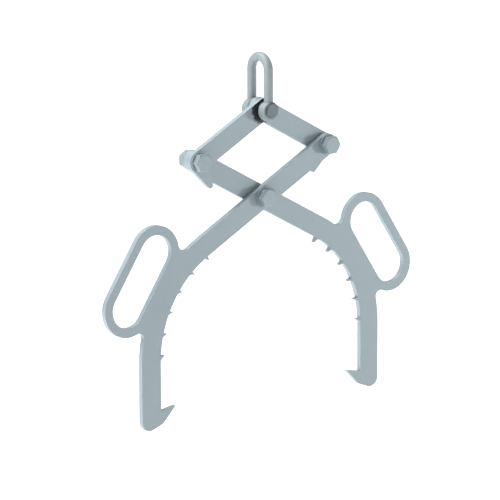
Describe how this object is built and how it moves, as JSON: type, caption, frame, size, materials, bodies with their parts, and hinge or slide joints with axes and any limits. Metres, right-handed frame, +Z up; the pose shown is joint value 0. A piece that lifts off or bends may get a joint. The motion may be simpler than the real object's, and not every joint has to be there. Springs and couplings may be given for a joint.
{
  "type": "frame grip",
  "caption": "Scissor lifting grip: crossed plate arms with hooked feet, inner teeth and hand loops, on folding links under a shackle.",
  "frame": {"origin": "inner crown of the shackle, where a crane hook bears, midway between the plates", "axes": "+Z up along the pull, +X across the jaws to the right, +Y to the back along all pivots; plates lie in X-Z planes"},
  "size_m": [0.5618, 0.0555, 0.5173],
  "materials": {
    "plate_steel": "laser-cut steel plate, blue-white zinc plating, satin",
    "forged_steel": "forged round bar, zinc plated, satin",
    "pin_steel": "quenched steel, dark blue-grey, oiled",
    "turned_steel": "turned steel, fine lathe marks",
    "zinc_fasteners": "bright zinc plating, semi-gloss"
  },
  "bodies": {
    "shackle": {"shackle_bow": "forged_steel", "shackle_pin": "pin_steel", "top_sleeve": "turned_steel", "top_spacer": "turned_steel", "front_distance_ring": "turned_steel", "rear_distance_ring": "turned_steel"},
    "left_link": {"left_link": "plate_steel", "left_bolt": "zinc_fasteners", "left_nut": "zinc_fasteners", "left_front_washer": "zinc_fasteners", "left_rear_washer": "zinc_fasteners", "left_sleeve": "turned_steel", "left_spacer": "turned_steel"},
    "right_link": {"right_link": "plate_steel", "right_bolt": "zinc_fasteners", "right_nut": "zinc_fasteners", "right_front_washer": "zinc_fasteners", "right_rear_washer": "zinc_fasteners", "right_sleeve": "turned_steel", "right_spacer": "turned_steel"},
    "rear_arm": {"rear_arm": "plate_steel"},
    "front_arm": {"front_arm": "plate_steel", "centre_bolt": "zinc_fasteners", "centre_nut": "zinc_fasteners", "centre_front_washer": "zinc_fasteners", "centre_rear_washer": "zinc_fasteners", "centre_sleeve": "turned_steel", "centre_spacer": "turned_steel"}
  },
  "joints": [
    {"name": "shackle_swing", "type": "hinge", "parent": "shackle", "child": "left_link", "pos_m": [0, 0, -0.0675], "axis": [0, 1, 0], "range_deg": [-65, 80]},
    {"name": "tongs_opening", "type": "hinge", "parent": "left_link", "child": "right_link", "pos_m": [0, 0, -0.0675], "axis": [0, -1, 0], "range_deg": [-58, 29.6]},
    {"name": "rear_arm_turn", "type": "hinge", "parent": "left_link", "child": "rear_arm", "pos_m": [-0.11589, 0, -0.13069], "axis": [0, -1, 0], "range_deg": [-58, 29.6]},
    {"name": "front_arm_turn", "type": "hinge", "parent": "right_link", "child": "front_arm", "pos_m": [0.11589, 0, -0.13069], "axis": [0, 1, 0], "range_deg": [-58, 29.6]}
  ],
  "couplings": [
    {"joint": "rear_arm_turn", "follows": "tongs_opening", "ratio": 1},
    {"joint": "front_arm_turn", "follows": "tongs_opening", "ratio": 1}
  ]
}
